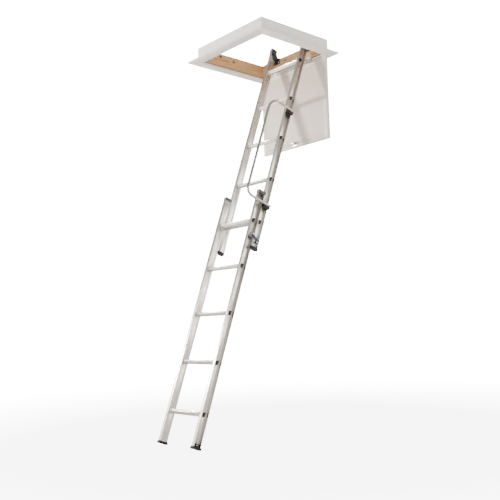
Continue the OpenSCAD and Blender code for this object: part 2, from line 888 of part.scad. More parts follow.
// Plastic saddles: a spigot in the channel and a seat under each leg of the rail
saddle_rise = 24;
saddle_key = [-14, 20];
saddle_seat_x = hook_x + guide_wall + 0.7;
saddle_play = 0.15;
module handrail_saddles() {
    color(black)
        on_ladder()
            difference() {
                for (z = rail_leg_z) {
                    box([web_out, section_offset + saddle_key[0], z - saddle_rise],
                        [saddle_seat_x, section_offset + saddle_key[1], z + rail_r]);
                    box([saddle_seat_x, section_offset - half_depth, z - saddle_rise],
                        [rail_x + 3, section_offset + half_depth, z]);
                }
                for (z = rail_leg_z)
                    translate([rail_x, section_offset - half_depth - past, z])
                        rotate([-90, 0, 0])
                            cylinder(r = rail_r + saddle_play, h = stile_depth + 2 * past);
                rail_bolt_bores(web_out - past, rail_x, rail_bolt_r + fastener_play);
            }
}
rail_nut_h = 4;
rail_nut_r = 4.6;
module handrail_bolts() {
    color(zinc)
        on_ladder() {
            rail_bolt_bores(web_in - rail_nut_h - bolt_end, rail_x + rail_r, rail_bolt_r);
            for (z = rail_leg_z, y = rail_bolt_y) {
                bar_x(rail_x + rail_r, rail_x + rail_r + 2.5, section_offset + y, z, screw_head_r);
                translate([web_in - rail_nut_h, section_offset + y, z])
                    rotate([0, 90, 0])
                        cylinder(r = rail_nut_r, h = rail_nut_h, $fn = 6);
            }
        }
}

// ---------- slide catch ----------

// The lever swings on a pin in the upper section's channel. Its nose props a stud on the lower section,
// so the extended ladder can't run down, and it swings forward and down to let the stud pass.
plate_z = [upper_bottom + 30, upper_bottom + 96];
plate_front_y = -18;
plate_t = 2;
pin_tail_t = 1.5;
upstand_y = 17;
lever_x = hook_x + 0.2;
lever_t = 2.2;
boss_r = 6.5;
boss_x = web_out + plate_t + 0.3;
pin_head_x = lever_x + lever_t + 0.3;
nose_top = stud_at.y - upper_bottom - stud_r - 0.5;
nose_y = stud_at.x - section_offset;

module slide_catch_plate() {
    color(zinc)
        on_ladder()
            translate([0, section_offset, 0])
                difference() {
                    union() {
                        box([web_out, plate_front_y, plate_z[0]], [web_out + plate_t, upstand_y, plate_z[1]]);
                        box([web_out, upstand_y, plate_z[0]], [tip - 3, upstand_y + plate_t, plate_z[1]]);
                    }
                    for (at = catch_rivets)
                        bar_x(web_out - past, web_out + plate_t + past, at.x, upper_bottom + at.y,
                              rivet_r + fastener_play);
                    bar_x(web_out - past, web_out + plate_t + past, catch_pin_at.x,
                          upper_bottom + catch_pin_at.y, catch_pin_r + fastener_play);
                }
}

// The pivot pin and the three rivets that hold the plate
module slide_catch_pin() {
    color(zinc)
        on_ladder()
            translate([0, section_offset, upper_bottom]) {
                headed_pin(web_in, pin_head_x, catch_pin_at.x, catch_pin_at.y, catch_pin_r, screw_head_r, 1.2);
                bar_x(web_in - pin_tail_t, web_in, catch_pin_at.x, catch_pin_at.y, screw_head_r);
                for (at = catch_rivets) {
                    headed_pin(web_in, web_out + plate_t, at.x, at.y, rivet_r, rivet_head_r, rivet_head_h);
                    bar_x(web_in - pin_tail_t, web_in, at.x, at.y, rivet_head_r - 0.8);
                }
            }
}
module slide_catch_lever() {
    color([0.30, 0.34, 0.45])
        on_ladder()
            translate([0, section_offset, upper_bottom])
                difference() {
                    union() {
                        bar_x(boss_x, lever_x + lever_t, catch_pin_at.x, catch_pin_at.y, boss_r);
                        along_x(lever_x, lever_x + lever_t)
                            polygon([
                                [catch_pin_at.x + 9, catch_pin_at.y - 4],
                                [catch_pin_at.x + 12, catch_pin_at.y + 9],
                                [catch_pin_at.x + 2, catch_pin_at.y + 15],
                                [nose_y + 10, nose_top],
                                [nose_y - 8, nose_top],
                                [nose_y - 8, nose_top - 8],
                                [catch_pin_at.x - 24, catch_pin_at.y + 6],
                                [catch_pin_at.x - 7, catch_pin_at.y - 8],
                                [catch_pin_at.x + 3, catch_pin_at.y - 9],
                            ]);
                    }
                    bar_x(boss_x - past, lever_x + lever_t + past, catch_pin_at.x, catch_pin_at.y,
                          catch_pin_r + running_play);
                }
}

// Three close turns of wire round the lever's boss, lying on the plate, with a leg against its upstand
wire_r = 0.7;
spring_r = boss_r + 0.3 + wire_r;
spring_pitch = 1.9 * wire_r;
spring_leg_r = 0.6;
module slide_catch_spring() {
    color(zinc)
        on_ladder()
            translate([web_out + plate_t + wire_r, section_offset + catch_pin_at.x,
                       upper_bottom + catch_pin_at.y]) {
                rotate([0, 90, 0])
                    rotate_extrude()
                        for (turn = [0:2])
                            translate([spring_r, turn * spring_pitch])
                                circle(r = wire_r);
                translate([0, 0, spring_r])
                    rotate([-90, 0, 0])
                        cylinder(r = spring_leg_r, h = upstand_y - catch_pin_at.x);
            }
}

// The stud that the lever props, riveted through the lower section's web
module slide_stud() {
    color(zinc)
        on_ladder() {
            bar_x(web_out, lever_x + lever_t, stud_at.x, stud_at.y, stud_r);
            bar_x(web_in - pin_tail_t, web_out, stud_at.x, stud_at.y, rivet_r);
            bar_x(web_in - pin_tail_t, web_in, stud_at.x, stud_at.y, stud_r + 0.5);
        }
}

module lower_rung_1() rung(0);
module lower_rung_2() rung(rung_pitch);
module lower_rung_3() rung(2 * rung_pitch);
module lower_rung_4() rung(3 * rung_pitch);
module lower_rung_5() rung(4 * rung_pitch);

// ---------- feet ----------

// A rubber boot round and inside the stile's end, with a narrow tongue for the rivet
module foot(side) {
    color(black)
        on_ladder()
            at_side(side)
                difference() {
                    union() {
                        box([web_in - boot_wall, -half_depth - boot_wall, foot_bottom],
                            [tip + boot_wall, half_depth + boot_wall, lower_bottom + boot_rise]);
                        box([web_out, -tongue_half_y, foot_bottom + boot_web],
                            [tip - tongue_set, tongue_half_y, foot_rivet_z + 2 * rivet_head_r]);
                    }
                    difference() {
                        box([web_in, -half_depth, lower_bottom],
                            [tip, half_depth, lower_bottom + boot_rise + past]);
                        box([web_out, -half_depth + flange_t, lower_bottom - past],
                            [tip + past, half_depth - flange_t, lower_bottom + boot_rise + 2 * past]);
                    }
                    bar_x(web_out - past, tip - tongue_set + past, 0, foot_rivet_z,
                          rivet_r + fastener_play);
                }
}
module foot_left() foot(-1);
module foot_right() foot(1);

// Rivets with a head on each side of the web and tongue
module foot_rivets() {
    color(zinc)
        on_ladder()
            for (side = [-1, 1])
                at_side(side) {
                    headed_pin(web_in, tip - tongue_set, 0, foot_rivet_z, rivet_r, rivet_head_r,
                               rivet_head_h);
                    bar_x(web_in - rivet_head_h, web_in, 0, foot_rivet_z, rivet_head_r);
                }
}

// ---------- assembly ----------

lining_hinge_side();
lining_front();
lining_left();
lining_right();
trim_hinge_side();
trim_front();
trim_left();
trim_right();
lining_screws();
pivot_bracket_left();
pivot_bracket_right();
bracket_screws();
pivot_bolts();
hinge_frame_leaves();
hinge_pins();
hinge_frame_screws();
door_keeper();
door_panel();
door_stile_left();
door_stile_right();
door_rail_hinge();
door_rail_catch();
hinge_door_leaves();
hinge_door_screws();
door_catch_plate();
door_catch_turn();
upper_stile_left();
upper_stile_right();
upper_rung_1();
upper_rung_2();
upper_rung_3();
upper_rung_4();
upper_rung_5();
upper_rung_plugs();
pivot_bushes();
lower_guide_left();
lower_guide_right();
handrail();
handrail_caps();
handrail_saddles();
handrail_bolts();
slide_catch_plate();
slide_catch_pin();
slide_catch_spring();
slide_catch_lever();
lower_stile_left();
lower_stile_right();
lower_rung_1();
lower_rung_2();
lower_rung_3();
lower_rung_4();
lower_rung_5();
lower_rung_plugs();
top_guide_left();
top_guide_right();
slide_stud();
foot_left();
foot_right();
foot_rivets();
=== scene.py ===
import json
import math

import bmesh
import bpy
from mathutils import Matrix, Vector


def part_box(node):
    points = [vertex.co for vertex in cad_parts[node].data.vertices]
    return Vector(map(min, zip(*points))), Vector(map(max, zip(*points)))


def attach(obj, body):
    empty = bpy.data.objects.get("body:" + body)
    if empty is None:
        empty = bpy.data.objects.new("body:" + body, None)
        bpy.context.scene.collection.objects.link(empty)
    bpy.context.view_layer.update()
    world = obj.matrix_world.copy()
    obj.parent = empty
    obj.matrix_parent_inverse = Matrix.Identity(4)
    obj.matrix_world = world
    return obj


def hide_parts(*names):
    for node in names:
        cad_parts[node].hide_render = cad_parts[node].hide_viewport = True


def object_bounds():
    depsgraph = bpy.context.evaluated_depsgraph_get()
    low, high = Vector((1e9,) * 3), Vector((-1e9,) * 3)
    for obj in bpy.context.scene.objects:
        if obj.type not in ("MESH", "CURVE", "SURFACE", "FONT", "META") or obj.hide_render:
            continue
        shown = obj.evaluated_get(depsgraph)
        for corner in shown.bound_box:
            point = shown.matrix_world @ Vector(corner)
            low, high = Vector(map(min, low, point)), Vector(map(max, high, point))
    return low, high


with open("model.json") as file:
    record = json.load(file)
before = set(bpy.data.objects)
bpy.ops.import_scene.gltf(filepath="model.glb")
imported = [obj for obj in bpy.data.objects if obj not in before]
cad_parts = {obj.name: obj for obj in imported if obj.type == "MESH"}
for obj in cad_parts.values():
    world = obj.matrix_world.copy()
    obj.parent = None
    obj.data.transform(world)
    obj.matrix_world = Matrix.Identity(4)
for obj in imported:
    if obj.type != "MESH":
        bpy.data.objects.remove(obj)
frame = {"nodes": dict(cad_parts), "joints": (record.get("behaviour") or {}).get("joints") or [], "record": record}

cad_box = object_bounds()


# ---------- pine lining ----------
# Four planed softwood boards, screwed into a box that lines the hole in the ceiling. Inside they are
# bare, so the grain runs along each board and the knots show. The outer sides are primed white.

MERGE = 0.000002
EDGE_ANGLE = math.radians(38)
SMOOTH_ANGLE = math.radians(32)
EDGE_SEGMENTS = 2
LINING_EDGE = 0.0008
NOISE_SPAN = (0.3, 0.7)
body_of = {node: body for body, nodes in frame["record"]["behaviour"]["bodies"].items() for node in nodes}


def pick(piece):
    """Leaves only this piece selected and active."""
    bpy.ops.object.select_all(action="DESELECT")
    piece.select_set(True)
    bpy.context.view_layer.objects.active = piece


def settle(piece, finish, slot, body, *nodes):
    """Gives a finished piece its material, the nodes it stands for and the body that carries it; the slot argument
    is not used.
    """
    piece.data.materials.clear()
    piece.data.materials.append(finish)
    if nodes:
        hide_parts(*nodes)
    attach(piece, body)


def solid_copy(node, name):
    """A CAD node's shape as one closed mesh of its own, with flat faces whole."""
    piece = bpy.data.objects.new(name, frame["nodes"][node].data.copy())
    piece.data.name = name
    bpy.context.scene.collection.objects.link(piece)
    pick(piece)
    bpy.ops.mesh.customdata_custom_splitnormals_clear()
    bpy.ops.object.mode_set(mode="EDIT")
    bpy.ops.mesh.select_all(action="SELECT")
    bpy.ops.mesh.remove_doubles(threshold=MERGE)
    bpy.ops.mesh.dissolve_limited(angle_limit=math.radians(0.3))
    bpy.ops.object.mode_set(mode="OBJECT")
    return piece


def ease(piece, radius):
    """Rounds a piece's sharp edges and smooths the rest."""
    pick(piece)
    if radius:
        bevel = piece.modifiers.new("eased", "BEVEL")
        bevel.width = radius
        bevel.segments = EDGE_SEGMENTS
        bevel.angle_limit = EDGE_ANGLE
        bpy.ops.object.modifier_apply(modifier="eased")
    bpy.ops.object.shade_smooth_by_angle(angle=SMOOTH_ANGLE)
    return piece


def eased_node(node, name, radius, finish, slot):
    """A CAD node with its edges eased, standing for that node."""
    piece = ease(solid_copy(node, name), radius)
    settle(piece, finish, slot, body_of[node], node)
    return piece


def new_finish(name, color, roughness, metallic=0.0):
    """A material with these values on its shader's own sockets."""
    finish = bpy.data.materials.new(name)
    finish.use_nodes = True
    shader = finish.node_tree.nodes["Principled BSDF"]
    shader.inputs["Base Color"].default_value = (*color, 1)
    shader.inputs["Roughness"].default_value = roughness
    shader.inputs["Metallic"].default_value = metallic
    return finish


def shader_of(finish):
    """The finish's one shader."""
    return finish.node_tree.nodes["Principled BSDF"]


def add_node(finish, kind, **settings):
    """A new node in a finish, with its sockets and settings filled in by name."""
    node = finish.node_tree.nodes.new(kind)
    for key, value in settings.items():
        if key in node.inputs:
            node.inputs[key].default_value = value
        else:
            setattr(node, key, value)
    return node


def join(finish, output, target):
    finish.node_tree.links.new(output, target)


def speckle(finish, size, turn=(0, 0, 0), detail=3, rough=0.55):
    """Noise whose patches have this size along each axis, in metres, once the axes are turned."""
    place = add_node(finish, "ShaderNodeTexCoord")
    fit = add_node(finish, "ShaderNodeMapping", vector_type="TEXTURE", Rotation=turn, Scale=size)
    noise = add_node(finish, "ShaderNodeTexNoise", Scale=1.0, Detail=detail, Roughness=rough)
    join(finish, place.outputs["Object"], fit.inputs["Vector"])
    join(finish, fit.outputs["Vector"], noise.inputs["Vector"])
    return noise.outputs["Fac"]


def tone(finish, fac, low, high, *colors):
    """Colours spread evenly between two values of a pattern."""
    ramp = add_node(finish, "ShaderNodeValToRGB").color_ramp
    while len(ramp.elements) < len(colors):
        ramp.elements.new(0.5)
    for i, color in enumerate(colors):
        ramp.elements[i].position = low + (high - low) * i / (len(colors) - 1)
        ramp.elements[i].color = (*color, 1)
    node = finish.node_tree.nodes[-1]
    join(finish, fac, node.inputs["Fac"])
    return node.outputs["Color"]


def mix(finish, fac, a, b, blend="MIX"):
    """Two colours blended; each value may be a number, a colour or another node's output."""
    node = add_node(finish, "ShaderNodeMix", data_type="RGBA", blend_type=blend)
    for value, key in ((fac, 0), (a, 6), (b, 7)):
        if hasattr(value, "links"):
            join(finish, value, node.inputs[key])
        else:
            node.inputs[key].default_value = value
    return node.outputs[2]


def spread(finish, fac, low, high, to_low, to_high):
    """Carries a pattern from one span of values to another."""
    node = add_node(finish, "ShaderNodeMapRange")
    for key, value in (("From Min", low), ("From Max", high), ("To Min", to_low), ("To Max", to_high)):
        node.inputs[key].default_value = value
    join(finish, fac, node.inputs["Value"])
    return node.outputs["Result"]


def relief(finish, height, depth, strength):
    """Fine unevenness of the surface, as deep as this in metres."""
    bump = add_node(finish, "ShaderNodeBump", Strength=strength, Distance=depth)
    join(finish, height, bump.inputs["Height"])
    join(finish, bump.outputs["Normal"], shader_of(finish).inputs["Normal"])


KNOT_LENGTH = 1.5
KNOT_RING = (0.27, 0.11, 0.035, 1)
KNOT_HEART = (0.07, 0.028, 0.012, 1)


def knot(finish, color, centre, radius, along):
    """A dark oval knot with a ring round it, at a point on the board."""
    place = add_node(finish, "ShaderNodeTexCoord")
    size = [radius, radius, radius]
    size[along] = radius * KNOT_LENGTH
    fit = add_node(finish, "ShaderNodeMapping", vector_type="TEXTURE", Location=centre, Scale=size)
    reach = add_node(finish, "ShaderNodeVectorMath", operation="LENGTH")
    join(finish, place.outputs["Object"], fit.inputs["Vector"])
    join(finish, fit.outputs["Vector"], reach.inputs[0])
    heart = spread(finish, reach.outputs["Value"], 0.8, 1.1, 1.0, 0.0)
    ring = spread(finish, reach.outputs["Value"], 1.0, 2.4, 0.6, 0.0)
    ringed = mix(finish, ring, color, KNOT_RING)
    return mix(finish, heart, ringed, KNOT_HEART)


PINE_PALE = (0.78, 0.49, 0.23)
PINE_WARM = (0.66, 0.37, 0.15)
PINE_DARK = (0.53, 0.26, 0.09)
FIBRE_DARK = (0.34, 0.15, 0.05)
FIBRE_PALE = (0.85, 0.58, 0.30)
FIBRE_SHARE = 0.16
# Painted shadow: a dark band a few millimetres high along each board's bottom edge, standing in for the shade in
# the gap above the trim.
SHADOW_GAP_BOTTOM = 0.0025
SHADOW_GAP_TOP = 0.0055
SHADOW_GAP_SHARE = 0.85
PAINTED_GAP_SHADOW = (0.10, 0.055, 0.03, 1)


def pine(name, along, knots):
    """Bare softwood whose grain runs along axis 0 or 1, with a painted shadow along its bottom edge where it meets
    the trim.
    """
    finish = new_finish(name, (0.62, 0.40, 0.20), 0.6)
    rings = [0.006, 0.006, 0.0075]
    rings[along] = 0.34
    fibres = [0.0012, 0.0012, 0.0010]
    fibres[along] = 0.05
    growth = speckle(finish, rings, detail=2)
    fibre = speckle(finish, fibres, detail=2)
    color = tone(finish, growth, 0.32, 0.68, PINE_WARM, PINE_PALE, PINE_DARK)
    color = mix(finish, FIBRE_SHARE, color, tone(finish, fibre, *NOISE_SPAN, FIBRE_DARK, FIBRE_PALE))
    for centre, radius in knots:
        color = knot(finish, color, centre, radius, along)
    height = add_node(finish, "ShaderNodeSeparateXYZ")
    place = add_node(finish, "ShaderNodeTexCoord")
    join(finish, place.outputs["Object"], height.inputs["Vector"])
    # Painted shadow: darkens the bottom few millimetres of the board, where the gap above the trim is in shade.
    gap_shadow = spread(finish, height.outputs["Z"], SHADOW_GAP_BOTTOM, SHADOW_GAP_TOP, SHADOW_GAP_SHARE, 0.0)
    color = mix(finish, gap_shadow, color, PAINTED_GAP_SHADOW)
    join(finish, color, shader_of(finish).inputs["Base Color"])
    join(finish, spread(finish, growth, *NOISE_SPAN, 0.5, 0.68), shader_of(finish).inputs["Roughness"])
    relief(finish, fibre, 0.0004, 0.5)
    return finish


left_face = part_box("lining_left")[1].x
hinge_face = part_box("lining_hinge_side")[0].y
lining_knots = {
    "lining_left": (1, [((left_face, -0.105, 0.066), 0.0062), ((left_face, 0.004, 0.055), 0.0052)]),
    "lining_right": (1, [((-left_face, 0.060, 0.030), 0.0060)]),
    "lining_hinge_side": (0, [((0.205, hinge_face, 0.036), 0.0055), ((-0.06, hinge_face, 0.058), 0.0035)]),
    "lining_front": (0, [((-0.120, -hinge_face, 0.040), 0.0060)]),
}
OUTER_SKIN = 0.0015
lining_out_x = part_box("lining_right")[1].x - OUTER_SKIN
lining_out_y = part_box("lining_hinge_side")[1].y - OUTER_SKIN
primer = new_finish("lining_primer", (0.93, 0.93, 0.92), 0.75)
primer_coat = speckle(primer, (0.02, 0.02, 0.008), detail=5)
join(primer, tone(primer, primer_coat, *NOISE_SPAN, (0.91, 0.91, 0.90), (0.95, 0.95, 0.945)),
     shader_of(primer).inputs["Base Color"])
relief(primer, primer_coat, 0.0004, 0.3)
for board, (grain_axis, knots) in lining_knots.items():
    piece = eased_node(board, board + "_board", LINING_EDGE, pine(board + "_pine", grain_axis, knots), "pine")
    piece.data.materials.append(primer)
    for face in piece.data.polygons:
        if abs(face.center.x) > lining_out_x or abs(face.center.y) > lining_out_y:
            face.material_index = 1


# ---------- lining screws ----------
# Zinc-plated wood screws that draw the end boards on to the side boards. Each has a turned head with a
# pressed cross recess. One screw is made, and a copy goes to each place.


def zinc_plate(name, color=(0.62, 0.64, 0.68), roughness=0.34):
    """Bright electroplate: a faint bluish mottle and fine pitting."""
    finish = new_finish(name, color, roughness, 1.0)
    cloud = speckle(finish, (0.006, 0.006, 0.006), detail=4)
    dark = tuple(0.80 * c for c in color)
    pale = tuple(min(1, 1.14 * c) for c in color)
    join(finish, tone(finish, cloud, *NOISE_SPAN, dark, color, pale), shader_of(finish).inputs["Base Color"])
    join(finish, spread(finish, cloud, *NOISE_SPAN, roughness + 0.1, roughness - 0.06),
         shader_of(finish).inputs["Roughness"])
    relief(finish, speckle(finish, (0.0006, 0.0006, 0.0006), detail=2), 0.0001, 0.35)
    return finish


zinc = zinc_plate("zinc_plate")

SCREW_SIDES = 28
CROSS_SPAN = 1.15
CROSS_WIDTH = 0.24


def solid_boxes(node):
    """Each separate solid of a CAD node, as its lowest and highest corners, in order of place."""
    shape = bmesh.new()
    shape.from_mesh(frame["nodes"][node].data)
    bmesh.ops.remove_doubles(shape, verts=shape.verts, dist=MERGE)
    left = set(shape.verts)
    boxes = []
    while left:
        group = [left.pop()]
        for vert in group:
            for edge in vert.link_edges:
                other = edge.other_vert(vert)
                if other in left:
                    left.remove(other)
                    group.append(other)
        boxes.append((Vector([min(v.co[i] for v in group) for i in range(3)]),
                      Vector([max(v.co[i] for v in group) for i in range(3)])))
    shape.free()
    return sorted(boxes, key=lambda box: tuple(round(c, 4) for c in box[0]))


def cut(piece, cutter):
    """Takes the cutter's shape out of the piece and removes the cutter."""
    pick(piece)
    hole = piece.modifiers.new("cut", "BOOLEAN")
    hole.operation = "DIFFERENCE"
    hole.object = cutter
    bpy.ops.object.modifier_apply(modifier="cut")
    bpy.data.objects.remove(cutter)


def bar(size, centre, name="bar"):
    """A cube primitive drawn out to these sizes, with its place in its mesh."""
    bpy.ops.object.select_all(action="DESELECT")
    bpy.ops.mesh.primitive_cube_add(size=1)
    piece = bpy.context.object
    piece.name = name
    piece.data.transform(Matrix.Translation(centre) @ Matrix.Diagonal((*size, 1)))
    return piece


def cross_screw(name, head_r, head_h, shank_r, length):
    """A domed cross-head screw along Z, its head's top at the origin."""
    bpy.ops.object.select_all(action="DESELECT")
    bpy.ops.mesh.primitive_cylinder_add(
        vertices=SCREW_SIDES, radius=head_r, depth=head_h, location=(0, 0, -head_h / 2))
    screw = bpy.context.object
    screw.name = name
    bpy.ops.object.transform_apply(location=True, rotation=True, scale=True)
    bpy.ops.object.mode_set(mode="EDIT")
    bpy.ops.mesh.select_all(action="DESELECT")
    shape = bmesh.from_edit_mesh(screw.data)
    for edge in shape.edges:
        edge.select = all(v.co.z > -head_h / 2 for v in edge.verts)
    bmesh.update_edit_mesh(screw.data)
    bpy.ops.mesh.bevel(offset=head_h * 0.75, segments=4)
    bpy.ops.mesh.select_all(action="DESELECT")
    shape = bmesh.from_edit_mesh(screw.data)
    for face in shape.faces:
        face.select = face.normal.z < -0.9
    bmesh.update_edit_mesh(screw.data)
    bpy.ops.mesh.inset(thickness=head_r - shank_r)
    bpy.ops.mesh.extrude_region_move(TRANSFORM_OT_translate={"value": (0, 0, head_h - length)})
    bpy.ops.object.mode_set(mode="OBJECT")
    arm = head_r * CROSS_SPAN
    for size in ((arm, arm * CROSS_WIDTH, head_h), (arm * CROSS_WIDTH, arm, head_h)):
        cut(screw, bar(size, (0, 0, -head_h * 0.1)))
    return screw


def fasten(node, name, master, outward, body):
    """A copy of the master at each of a node's solids, its head towards outward(centre of the solid)."""
    copies = []
    for low, high in solid_boxes(node):
        centre = (low + high) / 2
        way = Vector(outward(centre))
        reach = abs(way.dot(high - low)) / 2
        copy = bpy.data.objects.new(name, master.data.copy())
        bpy.context.scene.collection.objects.link(copy)
        turn = way.to_track_quat("Z", "Y").to_matrix().to_4x4()
        copy.data.transform(Matrix.Translation(centre + way * reach) @ turn)
        copies.append(copy)
    pick(copies[0])
    for copy in copies:
        copy.select_set(True)
    bpy.ops.object.join()
    piece = bpy.context.object
    piece.name = name
    bpy.ops.object.shade_smooth_by_angle(angle=math.radians(35))
    settle(piece, zinc, "zinc", body, node)
    bpy.data.objects.remove(master)


lining_screw = cross_screw("lining_screw", head_r=0.0046, head_h=0.0018, shank_r=0.0024, length=0.040)
fasten("lining_screws", "lining_cross_screws", lining_screw,
       lambda at: (0, math.copysign(1, at.y), 0), "hatch")


# ---------- white trim ----------
# Mitred softwood boards nailed up under the lining and the ceiling round it, primed and given a satin
# white coat by brush. The brush marks run along each board, and the mitres show as fine lines.


def brushed_paint(name, color, along, roughness=0.42):
    """Satin paint with shallow brush marks along axis 0, 1 or 2, and a little dust in faint random patches."""
    finish = new_finish(name, color, roughness)
    marks = [0.0030, 0.0030, 0.0030]
    marks[along] = 0.12
    stroke = speckle(finish, marks, detail=3)
    cloud = speckle(finish, (0.09, 0.09, 0.09), detail=4)
    dull = tuple(0.93 * c for c in color)
    join(finish, tone(finish, cloud, 0.35, 0.65, dull, color), shader_of(finish).inputs["Base Color"])
    join(finish, spread(finish, stroke, *NOISE_SPAN, roughness - 0.05, roughness + 0.1),
         shader_of(finish).inputs["Roughness"])
    relief(finish, stroke, 0.0003, 0.3)
    return finish


TRIM_EDGE = 0.0009
white_paint = (0.87, 0.825, 0.78)
trim_across = brushed_paint("trim_paint_across", white_paint, 0)
trim_along = brushed_paint("trim_paint_along", white_paint, 1)
for board, finish in (("trim_hinge_side", trim_across), ("trim_front", trim_across),
                      ("trim_left", trim_along), ("trim_right", trim_along)):
    eased_node(board, board + "_board", TRIM_EDGE, finish, "white_paint")


# ---------- pivot brackets and bolts ----------
# Pressed steel brackets stand on the hinge-side lining and carry the top of the ladder between two
# ears. They are folded from plate and stove-enamelled black. The pivot bolts are plated in black zinc.


ENAMEL_BLACK = (0.022, 0.022, 0.023)
RUBBED_STEEL = (0.20, 0.19, 0.18)
PRESSING_EDGE = 0.0005
BOLT_EDGE = 0.0006


def black_enamel(name):
    """Black enamel on steel, with a slight orange peel and the metal showing in rubbed specks."""
    finish = new_finish(name, ENAMEL_BLACK, 0.38)
    worn = speckle(finish, (0.004, 0.004, 0.004), detail=5)
    bare = spread(finish, worn, 0.70, 0.74, 0.0, 1.0)
    color = mix(finish, bare, (*ENAMEL_BLACK, 1), (*RUBBED_STEEL, 1))
    join(finish, color, shader_of(finish).inputs["Base Color"])
    join(finish, bare, shader_of(finish).inputs["Metallic"])
    relief(finish, speckle(finish, (0.0009, 0.0009, 0.0009), detail=2), 0.0002, 0.4)
    return finish


enamel = black_enamel("bracket_enamel")
for side in ("left", "right"):
    node = "pivot_bracket_" + side
    eased_node(node, node + "_pressing", PRESSING_EDGE, enamel, "black_steel")
bracket_screw = cross_screw("bracket_screw", head_r=0.0046, head_h=0.0018, shank_r=0.0024, length=0.0043)
fasten("bracket_screws", "bracket_cross_screws", bracket_screw, lambda at: (0, -1, 0), "hatch")
black_zinc = zinc_plate("black_zinc", (0.10, 0.10, 0.10), 0.45)
eased_node("pivot_bolts", "pivot_bolts_turned", BOLT_EDGE, black_zinc, "zinc")


# ---------- trapdoor hinges and keeper ----------
# Two plated butt hinges: the frame leaves go on the lining and the door leaves on the door's inner face,
# and a pin holds their knuckles. The keeper plate is let into the front lining board.

PLATE_EDGE = 0.0003
for node in ("hinge_frame_leaves", "hinge_door_leaves", "hinge_pins", "door_keeper"):
    eased_node(node, node + "_plated", PLATE_EDGE, zinc, "zinc")
for node, body in (("hinge_frame_screws", "hatch"), ("hinge_door_screws", "door")):
    hinge_screw = cross_screw("hinge_screw", head_r=0.003, head_h=0.001, shank_r=0.0018, length=0.0026)
    fasten(node, node + "_cross", hinge_screw, lambda at: (0, -1, 0), body)


# ---------- trapdoor ----------
# A board with a frame of softwood strips glued round its edge, painted in the same pale coat inside and
# out. The strips stand a little proud of the board, and their corner joints show.

PANEL_EDGE = 0.0006
STRIP_EDGE = 0.0012
STRIP_GLOSS = 0.46
door_paint = (0.74, 0.665, 0.59)
stile_paint = tuple(c * k for c, k in zip(door_paint, (1.03, 1.02, 0.98)))
door_board = brushed_paint("door_board_paint", door_paint, 2, 0.5)
door_strip = brushed_paint("door_strip_paint", stile_paint, 2, STRIP_GLOSS)
door_rail_paint = brushed_paint("door_rail_paint", door_paint, 0, STRIP_GLOSS)
eased_node("door_panel", "door_panel_board", PANEL_EDGE, door_board, "door_paint")
for side in ("left", "right"):
    eased_node("door_stile_" + side, "door_stile_%s_strip" % side, STRIP_EDGE, door_strip, "door_paint")
for end in ("hinge", "catch"):
    eased_node("door_rail_" + end, "door_rail_%s_strip" % end, STRIP_EDGE, door_rail_paint, "door_paint")


# ---------- door catch ----------
# A turn catch: a plated face plate on the inside, and a spindle that carries the tongue there and a
# knob with a finger bar outside.

CATCH_PLATE_EDGE = 0.0005
SPINDLE_EDGE = 0.0007
eased_node("door_catch_plate", "door_catch_face_plate", CATCH_PLATE_EDGE, zinc, "zinc")
eased_node("door_catch_turn", "door_catch_spindle", SPINDLE_EDGE, zinc, "zinc")


# ---------- stiles ----------
# Extruded aluminium channels, cut to length and left as they come from the mill: fine drawn lines and
# dull streaks run the whole length, and handling has left a few scuffs across them.

slide_way = Vector(next(j for j in frame["joints"] if j["name"] == "lower_slide")["axis"]).normalized()
rear_way = Vector((0, slide_way.z, -slide_way.y))
lean_turn = math.atan2(-slide_way.y, slide_way.z)


def mill_aluminium(name, color, roughness):
    """Extruded aluminium with its lines along the ladder."""
    finish = new_finish(name, color, roughness, 1.0)
    turn = (lean_turn, 0, 0)
    lines = speckle(finish, (0.0007, 0.0007, 0.5), turn, detail=2)
    streak = speckle(finish, (0.012, 0.012, 0.45), turn, detail=4)
    scuff = speckle(finish, (0.05, 0.05, 0.02), turn, detail=6, rough=0.7)
    dull = tuple(0.80 * c for c in color)
    pale = tuple(min(1, 1.08 * c) for c in color)
    body = tone(finish, streak, 0.32, 0.68, dull, color, pale)
    fine = tone(finish, lines, *NOISE_SPAN, (0.86, 0.86, 0.86), (1, 1, 1))
    color_out = mix(finish, 1.0, body, fine, "MULTIPLY")
    join(finish, color_out, shader_of(finish).inputs["Base Color"])
    join(finish, spread(finish, scuff, 0.35, 0.7, roughness - 0.06, roughness + 0.14),
         shader_of(finish).inputs["Roughness"])
    relief(finish, lines, 0.00015, 0.4)
    return finish


CHANNEL_EDGE = 0.0004
mill = mill_aluminium("mill_aluminium", (0.69, 0.66, 0.61), 0.31)
for section in ("upper", "lower"):
    for side in ("left", "right"):
        node = "%s_stile_%s" % (section, side)
        eased_node(node, node + "_channel", CHANNEL_EDGE, mill, "mill_aluminium")


# ---------- rungs ----------
# Hollow extruded rungs with a flat tread, brighter than the stiles. A rolled bead inside each web and a
# swaged ring outside hold them. Fine ribs along the tread give the sole of a shoe its grip.

RIB_PITCH = 0.0028
RIB_WIDTH = 0.0013
RIB_RISE = 0.0006
RIBS = 6
RUNG_EDGE = 0.0003
BEAD = 0.0025
BEAD_ROOM = 0.0125


def rung_aluminium(name, color, roughness):
    """Bright aluminium with drawn lines from stile to stile."""
    finish = new_finish(name, color, roughness, 1.0)
    lines = speckle(finish, (0.3, 0.0008, 0.0008), detail=2)
    cloud = speckle(finish, (0.08, 0.02, 0.02), detail=4)
    dull = tuple(0.88 * c for c in color)
    join(finish, tone(finish, cloud, 0.35, 0.65, dull, color), shader_of(finish).inputs["Base Color"])
    join(finish, spread(finish, lines, *NOISE_SPAN, roughness - 0.08, roughness + 0.1),
         shader_of(finish).inputs["Roughness"])
    relief(finish, lines, 0.0001, 0.3)
    return finish


